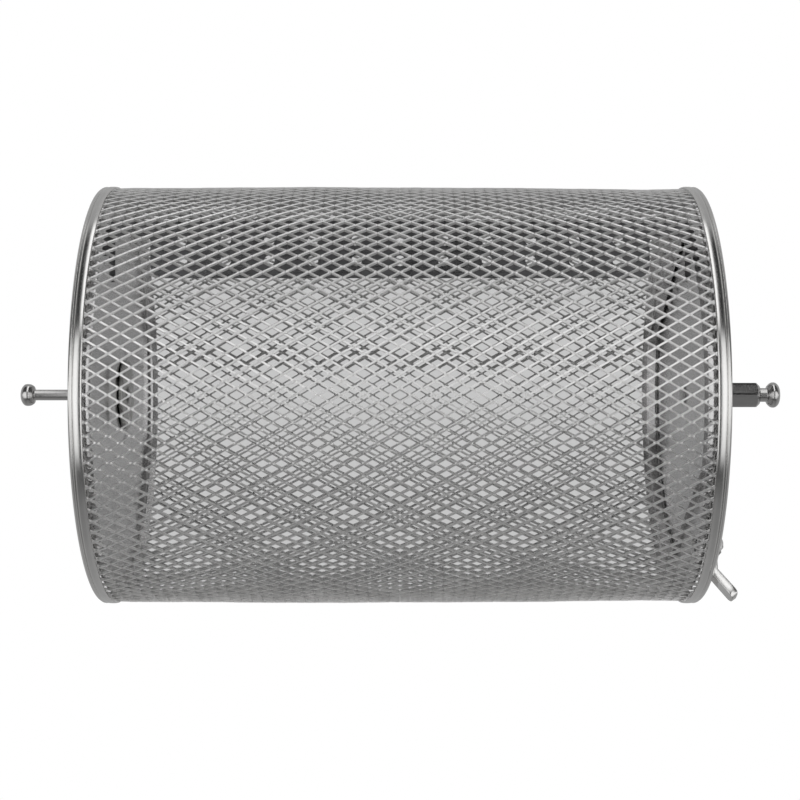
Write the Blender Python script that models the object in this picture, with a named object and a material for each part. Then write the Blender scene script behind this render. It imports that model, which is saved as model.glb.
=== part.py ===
"""Rotisserie drum basket of expanded metal, with a hinged lid, a spring latch and an axle at each end.

Metres, +Z up. The origin is on the drum's axis, midway between the axle's tips. +X runs along the axle
towards the lid. The lid's hinge lies up and back from the axis, its latch down and forward: both are
modelled in a door frame that is the drum's frame turned about X, with +Z towards the hinge and +Y along
the hinge pin.
"""
import math

import bmesh
import bpy
from mathutils import Vector

MM = 0.001
GAP = 0.3 * MM                       # free space between neighbouring pieces

# Drum
RIM_RADIUS = 60.0 * MM               # over the flats of the rolled rims
RIM_WIDTH = 3.6 * MM
RIM_SHEET = 0.5 * MM
RIM_EDGE = 0.5 * MM                  # chamfer of the rolled outer edge
RIM_WEB = 2.8 * MM                   # how far the rim turns in over the end
RIM_SIDES = 32
DRUM_LENGTH = 168.8 * MM             # over both rims
SLEEVE_SHEET = 0.9 * MM
SLEEVE_BULGE = 0.6 * MM              # how much fuller the sleeve is halfway along
SLEEVE_STRAND = 2.6 * MM
CELLS_AROUND = 24
CELLS_ALONG = 6

# End plates
PLATE_SHEET = 0.5 * MM
PLATE_DEPTH = 2.3 * MM               # the plates lie this far inside the rims' outer faces
FLANGE_DEPTH = 2.8 * MM
FLANGE_PLAY = 0.5 * MM               # between flange and sleeve, at the sleeve's flats
BOSS_RADIUS = 11.0 * MM              # flat middle of the left cap's boss
BOSS_SLOPE = 5.0 * MM
BOSS_RISE = 1.3 * MM
PLATE_SIDES = 48

# Door opening and lid, in the door frame
DOOR_TURN = math.radians(-29.4)
RING_WIDTH = 11.6 * MM               # from the rim's outside to the round part of the opening
OPENING_CUT = 10.0 * MM              # how far each flat of the opening cuts in from the round part
LIP_DEPTH = 2.8 * MM
LID_SHEET = 0.8 * MM
LID_OVERLAP = 3.6 * MM               # lid over the round part of the opening
LID_HINGE_LAND = 5.1 * MM            # lid over the flat on the hinge side

# Axle
AXLE_REACH = 110.0 * MM              # from the origin to each tip
PIN_RADIUS = 1.55 * MM
PIN_HEAD_RADIUS = 3.18 * MM
PIN_HEAD_LENGTH = 4.0 * MM
PIN_NUT_FLATS = 5.5 * MM
PIN_NUT_HEIGHT = 2.4 * MM
STUD_RADIUS = 2.0 * MM
KNOB_RADIUS = 3.67 * MM
KNOB_LENGTH = 3.5 * MM
NECK_LENGTH = 2.3 * MM
HEX_FLATS = 7.0 * MM
HEX_CHAMFER = 1.1 * MM
BACKING_RADIUS = 10.0 * MM           # of the disc behind the left cap
BACKING_SHEET = 1.1 * MM
PEEN_LAND = 1.0 * MM                 # how far a shaft's end is spread beyond its sides
PEEN_RISE = 0.7 * MM

# Lifting vane; its depths are measured down from its top edge
VANE_PLACE = 0.53                    # how far forward of the axis, as a share of the rim's radius
VANE_SHEET = 0.6 * MM
VANE_DEPTH = 15.7 * MM
VANE_NOTCH = 4.4 * MM                # down to the top of the notch beside each leg
VANE_LEG_DEPTH = 16.8 * MM
VANE_LEG_WIDTH = 4.2 * MM
VANE_NOTCH_WIDTH = 9.5 * MM          # between each leg and the hanging panel
VANE_CORNER = 4.0 * MM
VANE_TAB = 9.0 * MM
HOLE_RADIUS = 1.45 * MM
HOLE_PITCH = 11.8 * MM
HOLE_MARGIN = 7.0 * MM               # least distance from a hole's middle to the panel's end
HOLE_ROWS = (5.5 * MM, 11.0 * MM)

# Rivets
RIVET_RADIUS = 0.9 * MM
RIVET_HEAD = 1.5 * MM
RIVET_RISE = 0.6 * MM
RIVET_SIDES = 10
VANE_RIVET_LAND = 5.8 * MM           # from the rim's outside to the vane's rivets
VANE_RIVET_INSET = 4.6 * MM          # from the vane to its rivets, along its tabs

# Hinge, in the door frame
LEAF_SHEET = 0.5 * MM
KNUCKLE_RADIUS = 1.6 * MM
HINGE_PIN_RADIUS = 0.6 * MM
HINGE_STAND_OFF = 3.0 * MM           # from the lid's edge to the hinge pin
HINGE_HALF = 8.0 * MM
KNUCKLE_HALF = 3.0 * MM              # of the lid's knuckle, in the middle
RING_LEAF = 9.5 * MM
LID_LEAF = 13.5 * MM
HINGE_RIVET_Y = 5.0 * MM
RING_RIVET_INSET = 5.6 * MM          # from the hinge pin
LID_RIVET_INSET = 12.3 * MM

# Latch: the lever's tab reaches out over the rim. Places along the bracket are measured from the pivot
# towards the lid's middle.
LATCH_INSET = 4.5 * MM               # from the lid's edge to the pivot
LATCH_PIVOT_RISE = 3.4 * MM          # pivot above the lid's outer face
LEVER_SHEET = 0.5 * MM
LEVER_HALF = 1.95 * MM
LEVER_WALL = 3.2 * MM
LEVER_PROUD = 4.0 * MM               # the tab's tip beyond the rim
LEVER_BEND = 3.8 * MM                # from the rim's outside in to the bend
LEVER_HEEL = 1.5 * MM
LEVER_RAKE = math.radians(36.0)
LATCH_PIN_RADIUS = 0.6 * MM
EAR_SHEET = 0.5 * MM
EAR_END = -1.5 * MM
BRACKET_STEP = 2.1 * MM              # where the ears end and the bracket's base begins
LATCH_RIVET_INSET = 2.1 * MM         # from the flat of the opening to the bracket's rivet
BRACKET_LAND = 2.1 * MM              # bracket beyond its rivet
HOOK_HALF = 1.0 * MM
HOOK_STEM = 0.7 * MM
HOOK_BITE = 1.0 * MM                 # barb behind the ring plate
SLOT_HALF = 2.4 * MM
SLOT_LENGTH = 3.9 * MM
SPRING_WIRE = 0.2 * MM               # wire radius
SPRING_COIL = 1.15 * MM
SPRING_TURNS = 3
SPRING_PITCH = 0.62 * MM
SPRING_LEG = 3.6 * MM                # reach of the leg that rests on the bracket
SPRING_TAIL = 1.2 * MM               # reach of the leg that lies in the lever

# Planes and radii that follow from the sizes above
RIM_FACE = DRUM_LENGTH / 2
RIM_INNER = RIM_FACE - RIM_WIDTH
PLATE_OUT = RIM_FACE - PLATE_DEPTH
PLATE_IN = PLATE_OUT - PLATE_SHEET
SLEEVE_END = RIM_FACE - RIM_SHEET - GAP
SLEEVE_RADIUS = RIM_RADIUS - RIM_SHEET - GAP
SLEEVE_FLAT = SLEEVE_RADIUS * math.cos(math.pi / CELLS_AROUND) - SLEEVE_SHEET
FLANGE_RADIUS = SLEEVE_FLAT - FLANGE_PLAY
VANE_Y = -VANE_PLACE * RIM_RADIUS
OPENING_RADIUS = RIM_RADIUS - RING_WIDTH
OPENING_FLAT = OPENING_RADIUS - OPENING_CUT
LID_IN = PLATE_OUT + GAP
LID_OUT = LID_IN + LID_SHEET
LID_RADIUS = OPENING_RADIUS + LID_OVERLAP
LID_HINGE_EDGE = OPENING_FLAT + LID_HINGE_LAND
HINGE_Z = LID_HINGE_EDGE + HINGE_STAND_OFF
HINGE_X = LID_IN + KNUCKLE_RADIUS
LATCH_PIVOT_X = LID_OUT + LATCH_PIVOT_RISE
LATCH_PIVOT_Z = LATCH_INSET - LID_RADIUS
LATCH_RIVET_Z = LATCH_RIVET_INSET - OPENING_FLAT
BRACKET_TOP = LID_OUT + GAP + EAR_SHEET
STEEL = (0.62, 0.61, 0.60)
DARK_STEEL = (0.42, 0.42, 0.42)


def clear_scene():
    """Start from an empty scene."""
    for leftover in list(bpy.data.objects):
        bpy.data.objects.remove(leftover, do_unlink=True)


def empty(name, parent=None, location=(0, 0, 0), turn=0.0):
    """A named frame for the pieces that share it."""
    holder = bpy.data.objects.new(name, None)
    bpy.context.scene.collection.objects.link(holder)
    holder.parent = parent
    holder.location = location
    holder.rotation_euler = (turn, 0, 0)
    holder.empty_display_size = 5 * MM
    return holder


def steel(name, colour, roughness):
    """A plain metal finish."""
    finish = bpy.data.materials.new(name)
    finish.use_nodes = True
    shader = finish.node_tree.nodes["Principled BSDF"]
    shader.inputs["Base Color"].default_value = (*colour, 1)
    shader.inputs["Metallic"].default_value = 1.0
    shader.inputs["Roughness"].default_value = roughness
    return finish


def piece(name, shape, parent, colour=STEEL, roughness=0.35):
    """Turn a bmesh, drawn in its parent frame's own base, into a named object with its own finish."""
    bmesh.ops.remove_doubles(shape, verts=shape.verts, dist=1e-7)
    bmesh.ops.recalc_face_normals(shape, faces=shape.faces)
    mesh = bpy.data.meshes.new(name)
    shape.to_mesh(mesh)
    shape.free()
    mesh.shade_smooth()
    mesh.set_sharp_from_angle(angle=math.radians(35))
    item = bpy.data.objects.new(name, mesh)
    bpy.context.scene.collection.objects.link(item)
    item.parent = parent
    item.location = -base_of(parent)
    mesh.materials.append(steel(f"{name}_finish", colour, roughness))
    return item


def base_of(frame):
    """Where a frame's own origin lies in the frame that its pieces are drawn in."""
    place = Vector((0, 0, 0))
    while frame.parent:
        place += frame.location
        frame = frame.parent
    return place


def cutter(name, shape, parent):
    """A hidden tool for a Boolean, drawn like a piece."""
    tool = piece(name, shape, parent)
    tool.hide_render = True
    tool.display_type = "WIRE"
    return tool


def combine(item, tool, operation):
    """Cut a tool out of a piece, or join it on."""
    step = item.modifiers.new(tool.name, "BOOLEAN")
    step.operation = operation
    step.object = tool


def loft(shape, loops, closed=False):
    """Skin a list of loops that have equal numbers of points, and cap the ends or join last to first."""
    rows = [[shape.verts.new(point) for point in loop] for loop in loops]
    pairs = list(zip(rows, rows[1:]))
    if closed:
        pairs.append((rows[-1], rows[0]))
    else:
        shape.faces.new(rows[0])
        shape.faces.new(rows[-1])
    count = len(rows[0])
    for near, far in pairs:
        for i in range(count):
            j = (i + 1) % count
            shape.faces.new((near[i], near[j], far[j], far[i]))
    return shape


def lofted(loops, closed=False):
    """A new shape from one loft."""
    return loft(bmesh.new(), loops, closed)


def circle(x, radius, sides, centre=(0, 0)):
    """A loop around the X direction whose flats touch the radius, with a flat at the bottom."""
    corner = radius / math.cos(math.pi / sides)
    steps = [(i + 0.5) * 2 * math.pi / sides for i in range(sides)]
    return [Vector((x, centre[0] + corner * math.sin(a), centre[1] - corner * math.cos(a))) for a in steps]


def hexagon(x, flats, turn=0.0):
    """A hexagon around X with flats at top and bottom, and a point halfway along each flat."""
    loop = []
    for i in range(12):
        angle = i * math.pi / 6 + turn
        reach = flats / 2 if i % 2 == 0 else flats / 2 / math.cos(math.pi / 6)
        loop.append(Vector((x, reach * math.sin(angle), -reach * math.cos(angle))))
    return loop


def bore_loop(x, radius, turn=0.0):
    """A round loop whose points line up with a hexagon's."""
    steps = [i * math.pi / 6 + turn for i in range(12)]
    return [Vector((x, radius * math.sin(a), -radius * math.cos(a))) for a in steps]


def turned(profile, sides, closed=False, centre=(0, 0)):
    """A round piece along X from (x, radius) points; a closed profile makes a ring."""
    return lofted([circle(x, radius, sides, centre) for x, radius in profile], closed)


def box(x, y, z):
    """A block from three (low, high) pairs."""
    corners = ((y[0], z[0]), (y[1], z[0]), (y[1], z[1]), (y[0], z[1]))
    return lofted([[Vector((plane, *corner)) for corner in corners] for plane in x])


def prism(outline, low, high):
    """A sheet-metal section of (x, z) points drawn out along Y."""
    return lofted([[Vector((x, y, z)) for x, z in outline] for y in (low, high)])


def rods(places, radius, x_low, x_high, sides=RIVET_SIDES):
    """Straight rods along X at the given (y, z) places, in one shape."""
    shape = bmesh.new()
    for place in places:
        loft(shape, [circle(x, radius, sides, place) for x in (x_low, x_high)])
    return shape


def drill(item, places, x_low, x_high, radius=RIVET_RADIUS + GAP):
    """Holes along X through a piece, with room around what passes through them."""
    shape = rods(places, radius, x_low - 2 * GAP, x_high + 2 * GAP)
    combine(item, cutter(f"{item.name}_drill", shape, item.parent), "DIFFERENCE")


def rivet(name, parent, place, x_low, x_high, side=1):
    """A rivet through a stack of sheets between two planes, its dome outside, at either end of the drum."""
    low, high = x_low - GAP, x_high + GAP
    profile = [
        (low - RIVET_RISE, RIVET_HEAD * 0.8),
        (low, RIVET_HEAD),
        (low, RIVET_RADIUS),
        (high, RIVET_RADIUS),
        (high, RIVET_HEAD),
        (high + RIVET_RISE * 0.6, RIVET_HEAD * 0.85),
        (high + RIVET_RISE, RIVET_HEAD * 0.4),
    ]
    shape = turned([(side * x, r) for x, r in profile], RIVET_SIDES, centre=place)
    return piece(name, shape, parent, DARK_STEEL)


def sleeve_radius(x):
    """The sleeve's outer radius along the drum: a little fuller in the middle than at the rims."""
    return SLEEVE_RADIUS + SLEEVE_BULGE * (1 - (x / SLEEVE_END) ** 2)


def make_sleeve(parent):
    """A tube of diamond cells: a grid of diamonds, each inset by half a strand and opened."""
    shape = bmesh.new()
    rows = 2 * CELLS_ALONG
    columns = 2 * CELLS_AROUND
    knots = {}
    for i in range(rows + 1):
        x = -RIM_INNER + 2 * RIM_INNER * i / rows
        for j in range(i % 2, columns, 2):
            angle = 2 * math.pi * j / columns
            radius = sleeve_radius(x)
            knots[i, j] = shape.verts.new((x, radius * math.sin(angle), -radius * math.cos(angle)))
    cells = []
    for i in range(rows + 1):
        for j in range((i + 1) % 2, columns, 2):
            around = [(i - 1, j), (i, (j + 1) % columns), (i + 1, j), (i, (j - 1) % columns)]
            corners = [knots[key] for key in around if key in knots]
            face = shape.faces.new(corners)
            if len(corners) == 4:
                cells.append(face)
    bmesh.ops.recalc_face_normals(shape, faces=shape.faces)
    hems = [edge for edge in shape.edges if edge.is_boundary]
    grown = bmesh.ops.extrude_edge_only(shape, edges=hems)["geom"]
    for knot in (v for v in grown if isinstance(v, bmesh.types.BMVert)):
        knot.co.x = math.copysign(SLEEVE_END, knot.co.x)
        knot.co.yz = knot.co.yz.normalized() * SLEEVE_RADIUS
    bmesh.ops.inset_individual(shape, faces=cells, thickness=SLEEVE_STRAND / 2, use_even_offset=True)
    bmesh.ops.delete(shape, geom=cells, context="FACES_ONLY")
    sleeve = piece("mesh_sleeve", shape, parent)
    thicken = sleeve.modifiers.new("sheet", "SOLIDIFY")
    thicken.thickness = SLEEVE_SHEET
    thicken.offset = -1.0
    return sleeve


def make_rim(name, parent, side):
    """A rolled band around one end: over the sleeve's hem, round the edge and in over the end."""
    inner = RIM_RADIUS - RIM_SHEET
    profile = [
        (RIM_INNER, inner),
        (RIM_INNER, RIM_RADIUS),
        (RIM_FACE - RIM_EDGE, RIM_RADIUS),
        (RIM_FACE, RIM_RADIUS - RIM_EDGE),
        (RIM_FACE, RIM_RADIUS - RIM_WEB),
        (RIM_FACE - RIM_SHEET, RIM_RADIUS - RIM_WEB),
        (RIM_FACE - RIM_SHEET, inner),
    ]
    piece(name, turned([(side * x, r) for x, r in profile], RIM_SIDES, closed=True), parent, roughness=0.25)


def make_left_cap(parent, rivets):
    """The closed end: a flanged disc, its middle pressed inwards around the axle pin."""
    hole = PIN_RADIUS + GAP
    profile = [
        (PLATE_IN - FLANGE_DEPTH, FLANGE_RADIUS - PLATE_SHEET),
        (PLATE_IN - FLANGE_DEPTH, FLANGE_RADIUS),
        (PLATE_OUT, FLANGE_RADIUS),
        (PLATE_OUT, BOSS_RADIUS + BOSS_SLOPE),
        (PLATE_OUT - BOSS_RISE, BOSS_RADIUS),
        (PLATE_OUT - BOSS_RISE, hole),
        (PLATE_IN - BOSS_RISE, hole),
        (PLATE_IN - BOSS_RISE, BOSS_RADIUS),
        (PLATE_IN, BOSS_RADIUS + BOSS_SLOPE),
        (PLATE_IN, FLANGE_RADIUS - PLATE_SHEET),
    ]
    cap = piece("left_end_cap", turned([(-x, r) for x, r in profile], PLATE_SIDES, closed=True), parent)
    drill(cap, rivets, -PLATE_OUT, -PLATE_IN)


def door_loop(x, radius, hinge_flat, latch_flat):
    """A round loop in the door frame, cut straight on the hinge side and on the latch side."""
    loop = []
    for i in range(PLATE_SIDES):
        angle = (i + 0.5) * 2 * math.pi / PLATE_SIDES
        rise = math.cos(angle)
        flat = hinge_flat if rise > 0 else latch_flat
        reach = min(radius, flat / max(abs(rise), 1e-6))
        loop.append(Vector((x, reach * math.sin(angle), reach * rise)))
    return loop


def make_door_ring(parent, rivets):
    """The open end: a flanged ring plate whose opening has two flats and a lip turned inwards."""
    def opening(x, grow=0.0):
        return door_loop(x, OPENING_RADIUS + grow, OPENING_FLAT + grow, OPENING_FLAT + grow)

    def around(x, radius):
        return door_loop(x, radius, radius, radius)

    loops = [
        opening(PLATE_OUT - LIP_DEPTH),
        opening(PLATE_OUT),
        around(PLATE_OUT, FLANGE_RADIUS),
        around(PLATE_IN - FLANGE_DEPTH, FLANGE_RADIUS),
        around(PLATE_IN - FLANGE_DEPTH, FLANGE_RADIUS - PLATE_SHEET),
        around(PLATE_IN, FLANGE_RADIUS - PLATE_SHEET),
        opening(PLATE_IN, PLATE_SHEET),
        opening(PLATE_OUT - LIP_DEPTH, PLATE_SHEET),
    ]
    ring = piece("door_ring", lofted(loops, closed=True), parent)
    drill(ring, rivets, PLATE_IN, PLATE_OUT)
    low, high = slot_ends()
    slot = box((PLATE_IN - GAP, PLATE_OUT + GAP), (-SLOT_HALF, SLOT_HALF), (low, high))
    combine(ring, cutter("ring_slot", slot, parent), "DIFFERENCE")


def slot_ends():
    """How far the ring's slot reaches on either side of the hook, in the door frame's Z."""
    high = LATCH_PIVOT_Z + HOOK_STEM / 2 + 2 * GAP
    return high - SLOT_LENGTH, high


def tab_foot(y):
    """The lowest a piece may reach beside the lip of the door opening, at a given Y."""
    return math.sqrt((OPENING_RADIUS + PLATE_SHEET + 2 * GAP) ** 2 - y ** 2)


def make_vane(parent, rivets):
    """The lifting vane: a perforated strip with a hanging panel, two legs and a folded tab at each end."""
    reach = PLATE_IN - GAP
    face = VANE_Y - VANE_SHEET / 2
    top = math.sqrt((SLEEVE_FLAT - 2 * GAP) ** 2 - face ** 2)
    shoulder = math.sqrt((FLANGE_RADIUS - PLATE_SHEET - 2 * GAP) ** 2 - face ** 2)
    flange_tip = PLATE_IN - FLANGE_DEPTH - 2 * GAP
    heel = tab_foot(face)
    leg = reach - VANE_LEG_WIDTH
    toe = PLATE_OUT - LIP_DEPTH - 2 * GAP
    end = leg - VANE_NOTCH_WIDTH
    half = [
        (flange_tip, top),
        (flange_tip, shoulder),
        (reach, shoulder),
        (reach, heel),
        (toe, heel),
        (toe, top - VANE_LEG_DEPTH),
        (leg, top - VANE_LEG_DEPTH),
        (leg, top - VANE_NOTCH),
        (end, top - VANE_NOTCH),
    ]
    for i in range(5):
        angle = i * math.pi / 8
        half.append((
            end - VANE_CORNER * (1 - math.cos(angle)),
            top - VANE_DEPTH + VANE_CORNER * (1 - math.sin(angle)),
        ))
    outline = half + [(-x, z) for x, z in reversed(half)]
    loops = [outline]
    beside = math.floor((end - HOLE_MARGIN) / HOLE_PITCH)
    for drop in HOLE_ROWS:
        for i in range(-beside, beside + 1):
            middle = i * HOLE_PITCH
            steps = [k * math.pi / 4 for k in range(8)]
            loops.append([
                (middle + HOLE_RADIUS * math.cos(a), top - drop + HOLE_RADIUS * math.sin(a)) for a in steps
            ])
    shape = bmesh.new()
    for loop in loops:
        points = [shape.verts.new((x, face, z)) for x, z in loop]
        for near, far in zip(points, points[1:] + points[:1]):
            shape.edges.new((near, far))
    bmesh.ops.triangle_fill(shape, use_beauty=True, edges=shape.edges)
    grown = bmesh.ops.extrude_face_region(shape, geom=shape.faces)["geom"]
    for corner in (v for v in grown if isinstance(v, bmesh.types.BMVert)):
        corner.co.y += VANE_SHEET
    vane = piece("lifting_vane", shape, parent)
    inner = face + VANE_TAB
    tabs = bmesh.new()
    for side in (-1, 1):
        corners = [
            (face, heel),
            (inner, tab_foot(inner)),
            (inner, math.sqrt((FLANGE_RADIUS - PLATE_SHEET - 2 * GAP) ** 2 - inner ** 2) - VANE_SHEET),
            (face, shoulder),
        ]
        planes = (side * (reach - VANE_SHEET), side * reach)
        loft(tabs, [[Vector((x, y, z)) for y, z in corners] for x in planes])
    combine(vane, cutter("vane_tabs", tabs, parent), "UNION")
    drill(vane, rivets, -reach, reach)
    return reach


def peened_end(x, radius):
    """Profile points of a shaft's inner end, spread into a low head that stops at a plane."""
    spread = radius + PEEN_LAND
    return [(x - PEEN_RISE, spread * 0.5), (x - PEEN_RISE * 0.5, spread * 0.9), (x, spread), (x, radius)]


def make_left_axle(parent):
    """The plain axle pin with its faceted head: a nut outside the cap, its end peened over a backing disc."""
    head = AXLE_REACH - PIN_HEAD_LENGTH
    inside = PLATE_IN - BOSS_RISE - GAP
    disc = inside - BACKING_SHEET
    profile = peened_end(disc - GAP, PIN_RADIUS) + [
        (head, PIN_RADIUS),
        (head + PIN_HEAD_LENGTH * 0.35, PIN_HEAD_RADIUS),
        (head + PIN_HEAD_LENGTH * 0.72, PIN_HEAD_RADIUS),
        (head + PIN_HEAD_LENGTH * 0.92, PIN_HEAD_RADIUS * 0.62),
        (AXLE_REACH, PIN_HEAD_RADIUS * 0.3),
    ]
    piece("left_axle_pin", turned([(-x, r) for x, r in profile], 12), parent, DARK_STEEL)
    hole = PIN_RADIUS + GAP
    near = -(PLATE_OUT - BOSS_RISE + GAP)
    far = near - PIN_NUT_HEIGHT
    flats = PIN_NUT_FLATS
    loops = [bore_loop(near, hole), hexagon(near, flats), hexagon(far, flats), bore_loop(far, hole)]
    piece("left_outer_nut", lofted(loops, closed=True), parent, DARK_STEEL)
    profile = [(-inside, hole), (-inside, BACKING_RADIUS), (-disc, BACKING_RADIUS), (-disc, hole)]
    piece("left_backing_disc", turned(profile, 24, closed=True), parent)


def make_lid(parent, rivets):
    """The lid: a flat disc that laps the ring plate, cut straight along the hinge."""
    hole = STUD_RADIUS + GAP

    def edge(x):
        return door_loop(x, LID_RADIUS, LID_HINGE_EDGE, LID_RADIUS)

    def bore(x):
        return door_loop(x, hole, hole, hole)

    loops = [bore(LID_OUT), edge(LID_OUT), edge(LID_IN), bore(LID_IN)]
    lid = piece("lid", lofted(loops, closed=True), parent)
    drill(lid, rivets, LID_IN, LID_OUT)
    notch = box((LID_IN - GAP, LID_OUT + GAP), (-SLOT_HALF, SLOT_HALF), (-LID_RADIUS - GAP, slot_ends()[1]))
    combine(lid, cutter("lid_notch", notch, parent), "DIFFERENCE")


def make_drive(parent):
    """The driver: a stud with a grooved knob, a hex sleeve on it, and its end peened inside the lid."""
    base = LID_OUT + GAP
    knob = AXLE_REACH - KNOB_LENGTH
    hex_end = knob - NECK_LENGTH
    profile = peened_end(LID_IN - GAP, STUD_RADIUS) + [
        (knob, STUD_RADIUS),
        (knob, KNOB_RADIUS * 0.65),
        (knob + KNOB_LENGTH * 0.3, KNOB_RADIUS),
        (knob + KNOB_LENGTH * 0.68, KNOB_RADIUS),
        (knob + KNOB_LENGTH * 0.92, KNOB_RADIUS * 0.8),
        (AXLE_REACH, KNOB_RADIUS * 0.55),
    ]
    piece("drive_stud", turned(profile, 12), parent, DARK_STEEL)
    hole = STUD_RADIUS + GAP
    level = -DOOR_TURN                   # the hex has its flats level in the drum's own frame
    loops = [
        bore_loop(base, hole, level),
        hexagon(base, HEX_FLATS, level),
        hexagon(hex_end - HEX_CHAMFER, HEX_FLATS, level),
        hexagon(hex_end, 2 * (hole + GAP), level),
        bore_loop(hex_end, hole, level),
    ]
    piece("hex_driver", lofted(loops, closed=True), parent, DARK_STEEL)


def knuckle_arc(start, end, steps=10):
    """Points round the hinge knuckle between two angles measured from +X towards +Z."""
    angles = [start + (end - start) * i / steps for i in range(steps + 1)]
    return [
        (HINGE_X + KNUCKLE_RADIUS * math.cos(a), HINGE_Z + KNUCKLE_RADIUS * math.sin(a)) for a in angles
    ]


def make_hinge(drum, door, ring_rivets, lid_rivets):
    """A butt hinge: the ring's leaf with two knuckles, the lid's leaf with one between them, and a pin."""
    bore = HINGE_PIN_RADIUS + GAP
    leaf_top = LID_IN + LEAF_SHEET
    meet = math.acos((HINGE_X - leaf_top) / KNUCKLE_RADIUS)
    outline = knuckle_arc(math.pi - meet, -math.pi)
    outline += [(LID_IN, HINGE_Z + RING_LEAF), (leaf_top, HINGE_Z + RING_LEAF)]
    ring_leaf = piece("hinge_ring_leaf", prism(outline, -HINGE_HALF, HINGE_HALF), drum)
    around = KNUCKLE_RADIUS + 2 * GAP
    gate = box(
        (LID_IN - GAP, HINGE_X + around),
        (-KNUCKLE_HALF - GAP, KNUCKLE_HALF + GAP),
        (HINGE_Z - around, HINGE_Z + around),
    )
    combine(ring_leaf, cutter("ring_leaf_gate", gate, drum), "DIFFERENCE")
    drill(ring_leaf, ring_rivets, LID_IN, leaf_top)

    low = LID_OUT + GAP
    high = low + LEAF_SHEET
    start = -math.acos((high - HINGE_X) / KNUCKLE_RADIUS)
    end = 2 * math.pi - math.acos((low - HINGE_X) / KNUCKLE_RADIUS)
    outline = knuckle_arc(start, end)
    outline += [(low, HINGE_Z - LID_LEAF), (high, HINGE_Z - LID_LEAF)]
    lid_leaf = piece("hinge_lid_leaf", prism(outline, -HINGE_HALF, HINGE_HALF), door)
    sides = bmesh.new()
    for side in (-1, 1):
        reach = (side * (KNUCKLE_HALF), side * (HINGE_HALF + GAP))
        corners = ((reach[0], HINGE_Z - around), (reach[1], HINGE_Z - around),
                   (reach[1], HINGE_Z + around), (reach[0], HINGE_Z + around))
        planes = (LID_IN - GAP, HINGE_X + around)
        loft(sides, [[Vector((x, y, z)) for y, z in corners] for x in planes])
    combine(lid_leaf, cutter("lid_leaf_gate", sides, door), "DIFFERENCE")
    drill(lid_leaf, lid_rivets, low, high)

    for leaf in (ring_leaf, lid_leaf):
        length = HINGE_HALF + GAP
        rod = rod_along_y(HINGE_X, HINGE_Z, [(-length, bore), (length, bore)])
        combine(leaf, cutter(f"{leaf.name}_bore", rod, leaf.parent), "DIFFERENCE")
    cap = HINGE_HALF + GAP
    profile = [
        (-cap - LEAF_SHEET, bore), (-cap, KNUCKLE_RADIUS * 0.8), (-cap, HINGE_PIN_RADIUS),
        (cap, HINGE_PIN_RADIUS), (cap, KNUCKLE_RADIUS * 0.8), (cap + LEAF_SHEET, bore),
    ]
    piece("hinge_pin", rod_along_y(HINGE_X, HINGE_Z, profile), drum, DARK_STEEL)


def rod_along_y(x, z, profile, sides=10):
    """A round piece along Y from (y, radius) points."""
    loops = []
    for y, radius in profile:
        steps = [i * 2 * math.pi / sides for i in range(sides)]
        loops.append([Vector((x + radius * math.cos(a), y, z + radius * math.sin(a))) for a in steps])
    return lofted(loops)


def make_latch_bracket(parent, rivets):
    """The bracket on the lid: a base with two ears that reach out past the hook and hold the pin."""
    low = LID_OUT + GAP
    high = BRACKET_TOP
    inner = LEVER_HALF + GAP
    outer = inner + EAR_SHEET
    ear_top = LATCH_PIVOT_X + LATCH_PIN_RADIUS + 3 * GAP
    step = LATCH_PIVOT_Z + BRACKET_STEP
    shape = box((low, high), (-outer, outer), (step, LATCH_RIVET_Z + BRACKET_LAND))
    bracket = piece("latch_bracket", shape, parent)
    ear_tip = LATCH_PIVOT_Z + EAR_END
    ears = bmesh.new()
    for side in (-1, 1):
        outline = [(low, step + 3 * GAP), (low, ear_tip), (ear_top, ear_tip), (ear_top, step)]
        loft(ears, [[Vector((x, side * y, z)) for x, z in outline] for y in (inner, outer)])
    combine(bracket, cutter("bracket_ears", ears, parent), "UNION")
    bore = LATCH_PIN_RADIUS + GAP
    rod = rod_along_y(LATCH_PIVOT_X, LATCH_PIVOT_Z, [(-outer - GAP, bore), (outer + GAP, bore)])
    combine(bracket, cutter("bracket_bore", rod, parent), "DIFFERENCE")
    drill(bracket, rivets, low, high)
    end = outer + GAP
    profile = [
        (-end - EAR_SHEET, bore * 0.8), (-end, bore + GAP), (-end, LATCH_PIN_RADIUS),
        (end, LATCH_PIN_RADIUS), (end, bore + GAP), (end + EAR_SHEET, bore * 0.8),
    ]
    pin = rod_along_y(LATCH_PIVOT_X, LATCH_PIVOT_Z, profile)
    piece("latch_pin", pin, parent, DARK_STEEL)


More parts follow.
